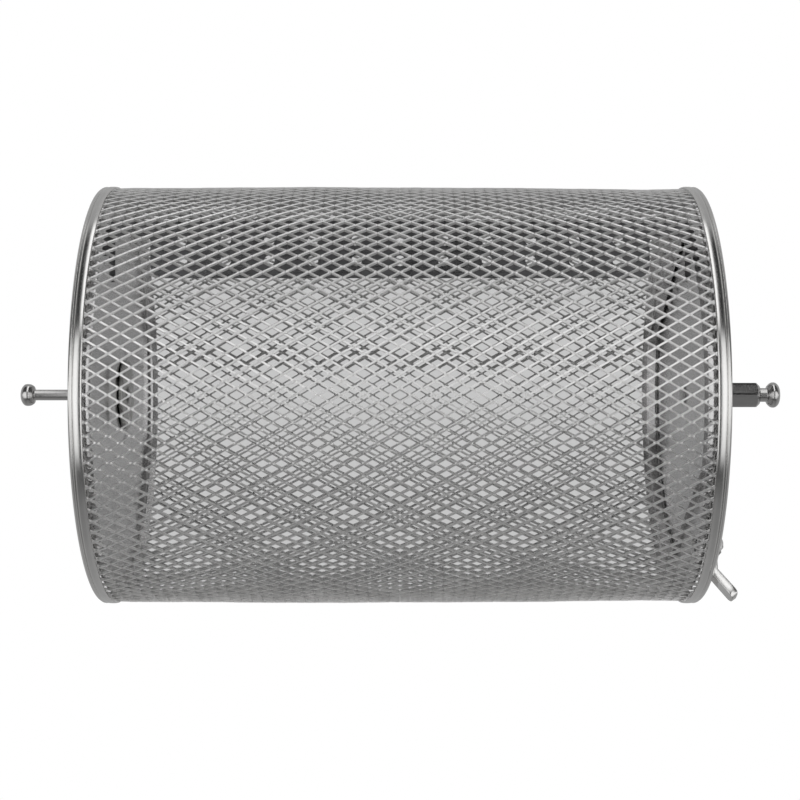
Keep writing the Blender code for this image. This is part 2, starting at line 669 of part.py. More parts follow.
def make_latch_lever(parent):
    """The lever: a pressed channel that turns on the pin, rises over the rim and ends in a rounded tab."""
    floor = BRACKET_TOP + GAP
    rake = Vector((math.sin(LEVER_RAKE), 0, -math.cos(LEVER_RAKE)))
    bend = Vector((floor, 0, LEVER_BEND - RIM_RADIUS))
    length = (LEVER_BEND + LEVER_PROUD) / math.cos(LEVER_RAKE)
    flat_normal = Vector((1, 0, 0))
    rake_normal = Vector((math.cos(LEVER_RAKE), 0, math.sin(LEVER_RAKE)))
    mitre = (flat_normal + rake_normal) / (1 + flat_normal.dot(rake_normal))
    heel = Vector((floor, 0, LATCH_PIVOT_Z + LEVER_HEEL))
    cheek = LEVER_WALL + 1.4 * MM
    stations = [
        (heel, flat_normal, cheek * 0.85, 1.0),
        (heel - Vector((0, 0, 0.6 * MM)), flat_normal, cheek, 1.0),
        (Vector((floor, 0, LATCH_PIVOT_Z - 2.2 * MM)), flat_normal, cheek, 1.0),
        (bend, mitre, LEVER_WALL * 0.75, 1.0),
        (bend + rake * (length - LEVER_HALF), rake_normal, LEVER_WALL * 0.75, 1.0),
        (bend + rake * (length - LEVER_HALF * 0.3), rake_normal, LEVER_WALL * 0.7, 0.8),
        (bend + rake * length, rake_normal, LEVER_WALL * 0.6, 0.5),
    ]
    loops = []
    for place, normal, wall, share in stations:
        half = LEVER_HALF * share
        inner = half - LEVER_SHEET
        section = [
            (-half, 0), (half, 0), (half, wall), (inner, wall),
            (inner, LEVER_SHEET), (-inner, LEVER_SHEET), (-inner, wall), (-half, wall),
        ]
        loops.append([place + Vector((0, y, 0)) + normal * rise for y, rise in section])
    lever = piece("latch_lever", lofted(loops), parent, roughness=0.25)
    bore = LATCH_PIN_RADIUS + GAP
    rod = rod_along_y(LATCH_PIVOT_X, LATCH_PIVOT_Z, [(-LEVER_HALF - GAP, bore), (LEVER_HALF + GAP, bore)])
    combine(lever, cutter("lever_bore", rod, parent), "DIFFERENCE")
    stem = HOOK_STEM / 2
    barb_top = PLATE_IN - GAP
    barb = LATCH_PIVOT_Z + stem + 2 * GAP + HOOK_BITE
    outline = [
        (floor + LEVER_SHEET / 2, LATCH_PIVOT_Z - stem),
        (barb_top - HOOK_STEM, LATCH_PIVOT_Z - stem),
        (barb_top - HOOK_STEM, barb - HOOK_STEM / 2),
        (barb_top - HOOK_STEM / 2, barb),
        (barb_top, barb),
        (barb_top, LATCH_PIVOT_Z + stem),
        (floor + LEVER_SHEET / 2, LATCH_PIVOT_Z + stem),
    ]
    hook = cutter("lever_hook", prism(outline, -HOOK_HALF, HOOK_HALF), parent)
    combine(lever, hook, "UNION")


def make_latch_spring(parent):
    """A torsion spring round the latch pin: one leg rests on the bracket, the other lies in the lever."""
    half = SPRING_PITCH * SPRING_TURNS / 2
    centre = Vector((LATCH_PIVOT_X, 0, LATCH_PIVOT_Z))
    per_turn = 12
    points = [
        Vector((BRACKET_TOP + 2 * SPRING_WIRE, -half, LATCH_PIVOT_Z + SPRING_LEG)),
        centre + Vector((-SPRING_COIL, -half, SPRING_LEG / 2)),
    ]
    for i in range(SPRING_TURNS * per_turn + 1):
        turn = 2 * math.pi * i / per_turn
        y = -half + SPRING_PITCH * i / per_turn
        points.append(centre + Vector((-SPRING_COIL * math.cos(turn), y, -SPRING_COIL * math.sin(turn))))
    points.append(centre + Vector((-SPRING_COIL, half, -SPRING_TAIL)))
    loops = []
    for i, point in enumerate(points):
        ahead = points[min(i + 1, len(points) - 1)] - points[max(i - 1, 0)]
        across = ahead.normalized().cross(Vector((0, 1, 0))).normalized()
        up = across.cross(ahead.normalized())
        steps = [k * math.pi / 3 for k in range(6)]
        loops.append([point + SPRING_WIRE * (across * math.cos(a) + up * math.sin(a)) for a in steps])
    piece("latch_spring", lofted(loops), parent, DARK_STEEL)


def main():
    clear_scene()
    drum = empty("drum_axis")
    door = empty("door_frame", drum, turn=DOOR_TURN)
    ring = empty("ring_frame", door)
    hinge = empty("lid_hinge_axis", door, location=(HINGE_X, 0, HINGE_Z))
    latch = empty("latch_axis", hinge, location=(LATCH_PIVOT_X - HINGE_X, 0, LATCH_PIVOT_Z - HINGE_Z))

    vane_y = VANE_Y + VANE_RIVET_INSET
    vane_place = (vane_y, math.sqrt((RIM_RADIUS - VANE_RIVET_LAND) ** 2 - vane_y ** 2))
    turned_place = (
        vane_place[0] * math.cos(DOOR_TURN) + vane_place[1] * math.sin(DOOR_TURN),
        vane_place[1] * math.cos(DOOR_TURN) - vane_place[0] * math.sin(DOOR_TURN),
    )
    ring_rivets = [(side * HINGE_RIVET_Y, HINGE_Z + RING_RIVET_INSET) for side in (-1, 1)]
    lid_rivets = [(side * HINGE_RIVET_Y, HINGE_Z - LID_RIVET_INSET) for side in (-1, 1)]
    latch_rivets = [(0, LATCH_RIVET_Z)]

    make_sleeve(drum)
    make_rim("left_rim", drum, -1)
    make_rim("right_rim", drum, 1)
    make_left_cap(drum, [vane_place])
    make_door_ring(ring, [turned_place] + ring_rivets)
    reach = make_vane(drum, [vane_place])
    for name, side in (("vane_rivet_left", -1), ("vane_rivet_right", 1)):
        rivet(name, drum, vane_place, reach - VANE_SHEET, PLATE_OUT, side)
    make_left_axle(drum)
    make_lid(hinge, lid_rivets + latch_rivets)
    make_drive(hinge)
    make_hinge(ring, hinge, ring_rivets, lid_rivets)
    for i, place in enumerate(ring_rivets, 1):
        rivet(f"hinge_ring_rivet_{i}", ring, place, PLATE_IN, LID_IN + LEAF_SHEET)
    for i, place in enumerate(lid_rivets, 1):
        rivet(f"hinge_lid_rivet_{i}", hinge, place, LID_IN, LID_OUT + GAP + LEAF_SHEET)
    make_latch_bracket(hinge, latch_rivets)
    rivet("latch_rivet", hinge, latch_rivets[0], LID_IN, BRACKET_TOP)
    make_latch_spring(hinge)
    make_latch_lever(latch)


main()
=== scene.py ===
"""Looks for a rotisserie drum basket of expanded stainless steel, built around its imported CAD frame."""
import math

import bmesh
import bpy
import numpy as np
from mathutils import Matrix, Vector


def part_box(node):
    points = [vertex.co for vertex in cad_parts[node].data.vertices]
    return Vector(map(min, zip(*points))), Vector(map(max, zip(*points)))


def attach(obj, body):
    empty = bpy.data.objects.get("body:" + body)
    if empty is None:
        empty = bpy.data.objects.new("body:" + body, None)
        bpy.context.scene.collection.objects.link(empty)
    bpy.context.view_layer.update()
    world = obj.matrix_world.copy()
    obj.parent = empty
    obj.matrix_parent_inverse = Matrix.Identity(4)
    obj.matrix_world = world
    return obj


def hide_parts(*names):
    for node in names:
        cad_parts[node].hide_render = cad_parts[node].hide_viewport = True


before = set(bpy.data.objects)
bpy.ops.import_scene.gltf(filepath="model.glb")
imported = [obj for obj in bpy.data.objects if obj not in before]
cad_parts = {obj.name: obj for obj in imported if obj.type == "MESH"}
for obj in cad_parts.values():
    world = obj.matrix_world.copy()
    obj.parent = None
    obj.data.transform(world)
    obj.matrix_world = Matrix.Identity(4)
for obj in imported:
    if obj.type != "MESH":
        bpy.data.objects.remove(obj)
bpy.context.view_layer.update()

MM = 0.001
DOOR_TURN = math.radians(-29.4)          # the door frame, turned about X from the drum's frame


def box_mm(node):
    """A CAD node's lowest and highest corners, in millimetres."""
    low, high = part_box(node)
    return [v / MM for v in low], [v / MM for v in high]


RIM_LOW, RIM_HIGH = box_mm("right_rim")
RIM_FACE, RIM_INNER, RIM_R = RIM_HIGH[0], RIM_LOW[0], RIM_HIGH[2]
PLATE_OUT = box_mm("door_ring")[1][0]
GAP = 0.3                                 # between pieces that are only fastened together
PLATE_SHEET = 0.5
PLATE_IN = PLATE_OUT - PLATE_SHEET
LID_SHEET = 0.8
LID_IN = PLATE_OUT + GAP
LID_OUT = LID_IN + LID_SHEET
LID_R = 52.0
LID_HINGE_EDGE = 43.5
OPENING_R = 48.4
OPENING_FLAT = 38.4
KNUCKLE_R = 1.6
HINGE_X, HINGE_Z = LID_IN + KNUCKLE_R, 46.5
PIVOT_X, PIVOT_Z = LID_OUT + 3.4, -47.5   # the latch lever's pin
SMALL_SHEET = 0.5                         # hinge leaves and latch
AXLE_TIP = box_mm("drive_stud")[1][0]


# ---------------------------------------------------------------- materials

STAIN_SIZE = 9.0
ROUND_SHRINK = 0.06                       # makes grain run long around X
STRETCH = {
    "x": (0.03, 1, 1), "y": (1, 0.03, 1), "z": (1, 1, 0.03),
    "around": (1, 1, ROUND_SHRINK), "spots": (1, 1, 1),
}


def add(tree, kind, inputs=None, **settings):
    """A shader node with its settings, and its inputs given values or linked from other nodes' outputs."""
    node = tree.nodes.new("ShaderNode" + kind)
    for name, value in settings.items():
        setattr(node, name, value)
    for key, value in (inputs or {}).items():
        if isinstance(value, bpy.types.NodeSocket):
            tree.links.new(value, node.inputs[key])
        else:
            node.inputs[key].default_value = value
    return node


def new_material(name):
    """A material with its node tree and its shader."""
    material = bpy.data.materials.new(name)
    material.use_nodes = True
    return material, material.node_tree, material.node_tree.nodes["Principled BSDF"]


def unrolled(tree, place):
    """Coordinates along X, out from it and around it."""
    split = add(tree, "SeparateXYZ", {0: place})
    angle = add(tree, "Math", {0: split.outputs["Y"], 1: split.outputs["Z"]}, operation="ARCTAN2")
    turn = add(tree, "Math", {0: angle.outputs[0], 1: ROUND_SHRINK}, operation="MULTIPLY")
    across = add(tree, "CombineXYZ", {"Y": split.outputs["Y"], "Z": split.outputs["Z"]})
    out = add(tree, "VectorMath", {0: across.outputs[0]}, operation="LENGTH")
    inputs = {"X": split.outputs["X"], "Y": out.outputs["Value"], "Z": turn.outputs[0]}
    return add(tree, "CombineXYZ", inputs).outputs[0]


def metal(name, colour, rough, grain="spots", grain_size=0.4, bump=0.15, spread=0.12, tint=0.06):
    """Bare metal whose grain runs along an axis, around X, or nowhere, with slow stains over it."""
    material, tree, shader = new_material(name)
    shader.inputs["Metallic"].default_value = 1.0
    place = add(tree, "TexCoord").outputs["Object"]
    grain_place = unrolled(tree, place) if grain == "around" else place
    mapping = add(tree, "Mapping", {"Vector": grain_place, "Scale": STRETCH[grain]})
    fine = add(tree, "TexNoise", {
        "Vector": mapping.outputs[0], "Scale": 1 / (grain_size * MM), "Detail": 3, "Roughness": 0.6,
    })
    stain = add(tree, "TexNoise", {"Vector": place, "Scale": 1 / (STAIN_SIZE * MM), "Detail": 4})
    half = add(tree, "Math", {0: stain.outputs["Fac"], 1: 0.5}, operation="MULTIPLY").outputs[0]
    both = add(tree, "Math", {0: fine.outputs["Fac"], 1: 0.5, 2: half}, operation="MULTIPLY_ADD")

    ramp = add(tree, "ValToRGB", {"Fac": both.outputs[0]})
    for stop, position, shade in zip(ramp.color_ramp.elements, (0.3, 0.7), (1 - tint, 1 + tint)):
        stop.position = position
        stop.color = (*[min(1, c * shade) for c in colour], 1)
    tree.links.new(ramp.outputs["Color"], shader.inputs["Base Color"])

    gloss = add(tree, "MapRange", {
        "Value": both.outputs[0], "From Min": 0.3, "From Max": 0.7,
        "To Min": max(0.03, rough - spread), "To Max": min(1, rough + spread),
    })
    tree.links.new(gloss.outputs[0], shader.inputs["Roughness"])

    relief = add(tree, "Bump", {"Height": fine.outputs["Fac"], "Strength": bump, "Distance": 0.05 * MM})
    tree.links.new(relief.outputs[0], shader.inputs["Normal"])
    return material


MESH_STEEL = metal("expanded_steel", (0.84, 0.835, 0.83), 0.38, grain_size=0.5, bump=0.25, tint=0.07)
RIM_STEEL = metal("rim_steel", (0.74, 0.735, 0.725), 0.17, "around", grain_size=0.25, bump=0.08, spread=0.05)
PLATE_STEEL = metal("plate_steel", (0.74, 0.735, 0.735), 0.17, "z", grain_size=0.25, bump=0.1, spread=0.06)
# The vane's dark base colour is painted shade: a dark grey on plain steel that stands for the shade the vane
# sits in behind the mesh.
SHADED_VANE_STEEL = metal("vane_steel_painted_shade", (0.20, 0.20, 0.205), 0.30, "x", grain_size=0.3, bump=0.2)
AXLE_STEEL = metal("axle_steel", (0.58, 0.575, 0.57), 0.16, "around", grain_size=0.2, bump=0.08, spread=0.05)
NUT_STEEL = metal("nut_steel", (0.50, 0.495, 0.48), 0.28, grain_size=0.3)
RIVET_STEEL = metal("rivet_steel", (0.60, 0.595, 0.59), 0.3, grain_size=0.3)
HINGE_STEEL = metal("hinge_steel", (0.62, 0.615, 0.61), 0.3, "y", grain_size=0.2)
LATCH_STEEL = metal("latch_steel", (0.78, 0.775, 0.765), 0.22, "z", grain_size=0.2, spread=0.08)
SPRING_STEEL = metal("spring_steel", (0.45, 0.44, 0.43), 0.25, grain_size=0.2)
FINISHES = {
    "expanded_mesh": MESH_STEEL, "rim_band": RIM_STEEL, "end_plate": PLATE_STEEL, "vane_sheet": SHADED_VANE_STEEL,
    "rivet_steel": RIVET_STEEL, "axle_steel": AXLE_STEEL, "nut_steel": NUT_STEEL,
    "spring_steel": SPRING_STEEL, "latch_steel": LATCH_STEEL, "hinge_steel": HINGE_STEEL,
}


# ---------------------------------------------------------------- mesh helpers

def put(name, mesh):
    """An object for a mesh, in the scene."""
    item = bpy.data.objects.new(name, mesh)
    bpy.context.scene.collection.objects.link(item)
    return item


def soften(item, width, segments, angle):
    """Rounded edges, where faces meet at more than an angle in degrees."""
    edge = item.modifiers.new("edge", "BEVEL")
    edge.width = width * MM
    edge.segments = segments
    edge.limit_method = "ANGLE"
    edge.angle_limit = math.radians(angle)


def piece(name, verts, faces, body, nodes, slot, door=False, smooth=35.0, bevel=0.0):
    """A named piece from millimetre points, riding on a body and standing for CAD nodes."""
    mesh = bpy.data.meshes.new(name)
    points = np.asarray(verts, float) * MM
    if door:
        c, s = math.cos(DOOR_TURN), math.sin(DOOR_TURN)
        y, z = points[:, 1].copy(), points[:, 2].copy()
        points[:, 1], points[:, 2] = y * c - z * s, y * s + z * c
    mesh.from_pydata([tuple(p) for p in points], [], faces)
    shape = bmesh.new()
    shape.from_mesh(mesh)
    bmesh.ops.remove_doubles(shape, verts=shape.verts, dist=1e-7)
    bmesh.ops.recalc_face_normals(shape, faces=shape.faces)
    shape.to_mesh(mesh)
    shape.free()
    mesh.validate()
    item = put(name, mesh)
    mesh.materials.append(FINISHES[slot])
    if bevel:
        soften(item, bevel, 2, 35)
    mesh.shade_smooth()
    mesh.set_sharp_from_angle(angle=math.radians(smooth))
    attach(item, body)
    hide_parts(*nodes)
    return item


def rounded(corners, steps=4, closed=True):
    """A polyline whose (a, b, fillet) corners are rounded off."""
    out = []
    count = len(corners)
    for i, corner in enumerate(corners):
        here = np.array(corner[:2], float)
        fillet = corner[2] if len(corner) > 2 else 0
        if not fillet or (not closed and i in (0, count - 1)):
            out.append(tuple(here))
            continue
        back = np.array(corners[i - 1][:2], float) - here
        ahead = np.array(corners[(i + 1) % count][:2], float) - here
        reach = min(fillet, 0.48 * np.linalg.norm(back), 0.48 * np.linalg.norm(ahead))
        start = here + back / np.linalg.norm(back) * reach
        end = here + ahead / np.linalg.norm(ahead) * reach
        for k in range(steps + 1):
            t = k / steps
            out.append(tuple((1 - t) ** 2 * start + 2 * t * (1 - t) * here + t * t * end))
    return out


def loft(loops, closed=False):
    """Points and faces for a skin over loops with equal numbers of points."""
    count = len(loops[0])
    verts = [p for loop in loops for p in loop]
    faces = []
    pairs = [(i, i + 1) for i in range(len(loops) - 1)]
    if closed:
        pairs.append((len(loops) - 1, 0))
    else:
        faces.append(list(range(count)))
        faces.append(list(range(len(verts) - count, len(verts)))[::-1])
    for a, b in pairs:
        for i in range(count):
            j = (i + 1) % count
            faces.append((a * count + i, a * count + j, b * count + j, b * count + i))
    return verts, faces


def ring(x, radius, sides, centre=(0, 0)):
    """A round loop across X."""
    steps = np.arange(sides) * 2 * math.pi / sides
    return [(x, centre[0] + radius * math.sin(a), centre[1] - radius * math.cos(a)) for a in steps]


def turned(profile, sides, closed=False, centre=(0, 0)):
    """A round piece along X from (x, radius) points."""
    return loft([ring(x, max(r, 0.001), sides, centre) for x, r in profile], closed)


def rod_y(x, z, profile, sides=32):
    """A round piece along Y from (y, radius) points."""
    steps = np.arange(sides) * 2 * math.pi / sides
    return loft([[(x + r * math.cos(a), y, z + r * math.sin(a)) for a in steps] for y, r in profile])


def merge(*shapes):
    """Several (verts, faces) shapes as one."""
    verts, faces = [], []
    for some, skin in shapes:
        base = len(verts)
        verts += list(some)
        faces += [tuple(base + i for i in face) for face in skin]
    return verts, faces


def prism(outline, low, high):
    """An (x, z) section drawn out along Y."""
    return loft([[(x, y, z) for x, z in outline] for y in (low, high)])


def door_loop(x, radius, hinge_flat, latch_flat, sides=144):
    """A round loop cut straight on the hinge side and on the latch side."""
    loop = []
    for i in range(sides):
        angle = (i + 0.5) * 2 * math.pi / sides
        rise = math.cos(angle)
        flat = hinge_flat if rise > 0 else latch_flat
        reach = min(radius, flat / max(abs(rise), 1e-6))
        loop.append((x, reach * math.sin(angle), reach * rise))
    return loop


# ---------------------------------------------------------------- expanded mesh sleeve

CELL_HALF = 2.97                          # half the long way of a cell, along X
HALF_ROWS = 212                           # half cells around the drum
BOND = 0.16                               # share of a half row where two strands run side by side
SLIT = 0.025                              # half the crack between two bonded strands
KNOT_WIDTH = 0.66                         # each strand's width
TIP_ROUND = 0.22                          # how far a cell's tip is blunted
STRAND_DEPTH = 0.68
TILT = 0.055                              # how far each leg of a strand leans out of the tube
HALF_COLUMNS = 28                         # strands each side of the middle
SLEEVE_STOP = 83.4                        # the strands end here, under the rims
SEAM_TURN, SEAM_SHIFT = 167.9, 0.6        # the lap's place in degrees around X, and its offset along X
SLEEVE_SKIN = 0.05                        # the strands' faces below those radii
# (x, radius): the tube swells and pinches a little along its length
SLEEVE_OUTLINE = (
    (-83.6, 59.40), (-77, 59.62), (-60, 59.66), (-50, 59.74), (-28, 59.92), (0, 59.76),
    (20, 59.72), (40, 59.58), (58, 59.33), (70, 59.18), (79, 59.36), (83.6, 59.40),
)


def strands(columns, rows, radius_drop=0.0, shift=0.0, wrap=True):
    """Zigzag strands of expanded metal around X, each a ribbon that meets its neighbours at the knots."""
    half_row = 2 * math.pi / HALF_ROWS
    stations = []
    for j in rows:
        for share in (0.0, BOND, 1 - BOND):
            stations.append((j, share))
    if not wrap:
        stations.append((rows[-1] + 1, 0.0))
    inset = CELL_HALF - SLIT - KNOT_WIDTH - TIP_ROUND
    verts, faces = [], []
    base = 0
    for k in columns:
        left, right, lift, angle = [], [], [], []
        for j, share in stations:
            rising = (k + j) % 2 == 1                # the knot of this row is on the strand's left
            a, b = {
                0.0: (SLIT, SLIT + KNOT_WIDTH),
                BOND: (SLIT, CELL_HALF - inset),
                1 - BOND: (inset, CELL_HALF - SLIT),
            }[share]
            if not rising:
                a, b = CELL_HALF - b, CELL_HALF - a
            left.append(a)
            right.append(b)
            lift.append(0.0 if share == 0.0 else (TILT if rising else -TILT))
            angle.append((j + share) * half_row)
        left, right, lift, angle = map(np.array, (left, right, lift, angle))
        x_left = np.clip(k * CELL_HALF + shift + left, -SLEEVE_STOP, SLEEVE_STOP)
        x_right = np.clip(k * CELL_HALF + shift + right, -SLEEVE_STOP, SLEEVE_STOP)
        if (x_right - x_left).max() < 0.05:
            continue
        wave = 0.03 * np.sin(angle * 5 + k * 0.7) + 0.02 * np.sin(angle * 13 + k * 1.9)
        corners = []
        for x, side in ((x_left, 1), (x_right, -1)):
            outer = np.interp(x, *zip(*SLEEVE_OUTLINE)) - SLEEVE_SKIN - radius_drop
            outer = outer + side * lift + wave
            for r in (outer, outer - STRAND_DEPTH):
                corners.append(np.stack([x, -r * np.cos(angle), r * np.sin(angle)], 1))
        # corners: left outer, left inner, right outer, right inner
        ribbon = np.stack([corners[0], corners[2], corners[3], corners[1]], 1)
        count = len(stations)
        verts.append(ribbon.reshape(-1, 3))
        last = count if wrap else count - 1
        i = np.arange(last)
        n = (i + 1) % count
        for c in range(4):
            d = (c + 1) % 4
            here, ahead = base + i * 4, base + n * 4
            faces.append(np.stack([here + c, here + d, ahead + d, ahead + c], 1))
        if not wrap:
            end = base + (count - 1) * 4
            faces.append(np.array([[base + 3, base + 2, base + 1, base], [end, end + 1, end + 2, end + 3]]))
        base += count * 4
    return np.concatenate(verts), np.concatenate(faces)


def sleeve_piece(name, verts, faces):
    """A big quad mesh made straight from arrays."""
    mesh = bpy.data.meshes.new(name)
    mesh.vertices.add(len(verts))
    mesh.vertices.foreach_set("co", (verts * MM).astype(np.float32).ravel())
    mesh.loops.add(len(faces) * 4)
    mesh.loops.foreach_set("vertex_index", faces.astype(np.int32).ravel())
    mesh.polygons.add(len(faces))
    mesh.polygons.foreach_set("loop_start", np.arange(len(faces), dtype=np.int32) * 4)
    mesh.update(calc_edges=True)
    mesh.validate()
    item = put(name, mesh)
    mesh.materials.append(MESH_STEEL)
    mesh.shade_flat()
    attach(item, "drum")
    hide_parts("mesh_sleeve")
    return item


all_rows = list(range(HALF_ROWS))
sleeve_piece("sleeve_left", *strands(range(-HALF_COLUMNS, 0), all_rows))
sleeve_piece("sleeve_right", *strands(range(0, HALF_COLUMNS), all_rows))
seam_row = round(SEAM_TURN / 360 * HALF_ROWS)
seam_rows = list(range(seam_row - 2, seam_row + 2))
seam = strands(range(-HALF_COLUMNS, HALF_COLUMNS), seam_rows, STRAND_DEPTH, SEAM_SHIFT, wrap=False)
sleeve_piece("sleeve_seam", *seam)


# ---------------------------------------------------------------- rims

RIM_SHEET = 0.5
RIM_TURN_IN = 2.8
BEAD_RISE = 0.30


def rim_profile():
    """The rolled band's section: a broad bead, a groove and a narrow outer bead, turned in over the end."""
    span = RIM_FACE - RIM_INNER
    outer = [(RIM_INNER, RIM_R - 0.50), (RIM_INNER, RIM_R - BEAD_RISE)]
    for t in np.linspace(0.04, 0.96, 13):
        rise = BEAD_RISE * math.sin(math.pi * t) ** 0.2
        outer.append((RIM_INNER + 0.62 * span * t, RIM_R - BEAD_RISE + rise))
    for t in np.linspace(0.0, 1.0, 9):
        rise = 0.34 * math.sin(math.pi * 0.8 * t)
        outer.append((RIM_INNER + span * (0.68 + 0.22 * t), RIM_R - 0.40 + rise))
    outer += rounded([
        outer[-1],
        (RIM_FACE, RIM_R - 0.45, 0.5),
        (RIM_FACE, RIM_R - RIM_TURN_IN, 0.25),
        (RIM_FACE - RIM_SHEET, RIM_R - RIM_TURN_IN, 0.2),
        (RIM_FACE - RIM_SHEET, RIM_R - 0.62, 0.2),
        (RIM_INNER + 0.4, RIM_R - 0.62),
    ], steps=5, closed=False)[1:]
    return outer


for side, node, name in ((1, "right_rim", "rim_right"), (-1, "left_rim", "rim_left")):
    shape = turned([(side * x, r) for x, r in rim_profile()], 256, closed=True)
    piece(name, *shape, "drum", [node], "rim_band", smooth=50)


# ---------------------------------------------------------------- end plates and lid

SLEEVE_FLAT = (RIM_R - 0.8) * math.cos(math.pi / 24) - 0.9
FLANGE_R = SLEEVE_FLAT - 0.5
FLANGE_INNER = FLANGE_R - PLATE_SHEET
FLANGE_END = PLATE_IN - 2.8
FLANGE_BEND = 1.8                         # outer radius of the flange's bend
INNER_BEND = FLANGE_BEND - PLATE_SHEET
LIP_END = PLATE_OUT - 2.8                 # the door opening's inward lip
BOSS_R, BOSS_RISE = 11.0, 1.3             # the left cap's pressed middle, and how deep it is
BOSS_FOOT = BOSS_R + 5.0
PIN_HOLE = 1.85
STUD_HOLE = 2.3


def left_cap():
    """The closed end: a flanged disc with a dished middle."""
    corners = [
        (FLANGE_END, FLANGE_INNER),
        (FLANGE_END, FLANGE_R, 0.15),
        (PLATE_OUT, FLANGE_R, FLANGE_BEND),
        (PLATE_OUT, BOSS_FOOT, 3.0),
        (PLATE_OUT - BOSS_RISE, BOSS_R, 2.0),
        (PLATE_OUT - BOSS_RISE, PIN_HOLE),
        (PLATE_IN - BOSS_RISE, PIN_HOLE),
        (PLATE_IN - BOSS_RISE, BOSS_R, 2.0),
        (PLATE_IN, BOSS_FOOT, 3.0),
        (PLATE_IN, FLANGE_INNER, INNER_BEND),
    ]
    profile = [(-x, r) for x, r in rounded(corners)]
    return turned(profile, 192, closed=True)


piece("end_cap_left", *left_cap(), "drum", ["left_end_cap"], "end_plate", smooth=40)


def door_ring():
    """The open end's plate: its opening's lip, its face, its bend and its flange, and back inside."""
    def opening(x, grow=0.0):
        return door_loop(x, OPENING_R + grow, OPENING_FLAT + grow, OPENING_FLAT + grow)

    def around(x, radius):
        return door_loop(x, radius, radius, radius)

    outer_bend = [
        around(PLATE_OUT - FLANGE_BEND * (1 - math.cos(a)), FLANGE_R - FLANGE_BEND * (1 - math.sin(a)))
        for a in np.linspace(0, math.pi / 2, 7)
    ]
    inner_bend = [
        around(PLATE_IN - INNER_BEND * (1 - math.cos(a)), FLANGE_INNER - INNER_BEND * (1 - math.sin(a)))
        for a in np.linspace(math.pi / 2, 0, 6)
    ]
    loops = [
        opening(LIP_END), opening(PLATE_OUT - 0.9), opening(PLATE_OUT - 0.35, 0.12),
        opening(PLATE_OUT - 0.08, 0.42), opening(PLATE_OUT, 0.9), *outer_bend,
        around(FLANGE_END, FLANGE_R), around(FLANGE_END, FLANGE_INNER), *inner_bend,
        opening(PLATE_IN, 1.0), opening(PLATE_IN - 0.2, 0.6),
        opening(PLATE_IN - 0.6, PLATE_SHEET), opening(LIP_END, PLATE_SHEET),
    ]
    return loft(loops, closed=True)


def lid():
    """The round door, straight beside its hinge, with a hole for the stud."""
    def edge(x, shrink=0.0):
        return door_loop(x, LID_R - shrink, LID_HINGE_EDGE - shrink, LID_R)

    def bore(x):
        return door_loop(x, STUD_HOLE, STUD_HOLE, STUD_HOLE)

    loops = [
        bore(LID_OUT), edge(LID_OUT, 0.3), edge(LID_OUT - 0.12, 0.05), edge(LID_IN + 0.12, 0.0),
        edge(LID_IN, 0.15), bore(LID_IN),
    ]
    return loft(loops, closed=True)


def cut(item, name, verts, faces):
    """Cut a door-frame block out of a piece, and apply it."""
    mesh = bpy.data.meshes.new(name)
    turn = Matrix.Rotation(DOOR_TURN, 4, "X")
    mesh.from_pydata([tuple(turn @ (Vector(v) * MM)) for v in verts], [], faces)
    tool = put(name, mesh)
    step = item.modifiers.new("cut", "BOOLEAN")
    step.object = tool
    step.operation = "DIFFERENCE"
    step.solver = "EXACT"
    bpy.context.view_layer.update()
    result = bpy.data.meshes.new_from_object(item.evaluated_get(bpy.context.evaluated_depsgraph_get()))
    item.modifiers.clear()
    old = item.data
    item.data = result
    result.name = item.name
    bpy.data.meshes.remove(old)
    bpy.data.objects.remove(tool)
    result.shade_smooth()
    result.set_sharp_from_angle(angle=math.radians(35))


def block(x, y, z):
    """A plain block from its ranges along each axis."""
    corners = ((y[0], z[0]), (y[1], z[0]), (y[1], z[1]), (y[0], z[1]))
    return loft([[(plane, a, b) for a, b in corners] for plane in x])


HOOK_HALF = 0.35                          # half the latch hook's bar
HOOK_CLEAR = 0.6                          # room around the hook in its slot
SLOT_TOP = PIVOT_Z + HOOK_HALF + HOOK_CLEAR
SLOT_BOTTOM = SLOT_TOP - 3.9
SLOT_SIDES = (-2.4, 2.4)

ring_item = piece("door_ring_plate", *door_ring(), "drum", ["door_ring"], "end_plate", door=True, smooth=40)
cut(ring_item, "ring_cut", *block((PLATE_IN - 1, PLATE_OUT + 1), SLOT_SIDES, (SLOT_BOTTOM, SLOT_TOP)))
lid_item = piece("lid_plate", *lid(), "lid", ["lid"], "end_plate", door=True, smooth=40)
cut(lid_item, "lid_cut", *block((LID_IN - 1, LID_OUT + 1), SLOT_SIDES, (-LID_R - 1, SLOT_TOP)))


# ---------------------------------------------------------------- lifting vane

VANE_LOW, VANE_HIGH = box_mm("lifting_vane")
VANE_FACE, VANE_SHEET = VANE_LOW[1], 0.6
VANE_TOP = math.sqrt((SLEEVE_FLAT - 0.6) ** 2 - VANE_FACE ** 2)
VANE_REACH = VANE_HIGH[0]
VANE_HOLE, HOLE_PITCH, HOLE_ROWS = 1.45, 11.8, (5.5, 11.0)
TAB_REACH = 9.0                           # the end tabs' length along Y
LIP_CLEAR = 1.1                           # from the door opening's lip and the flange


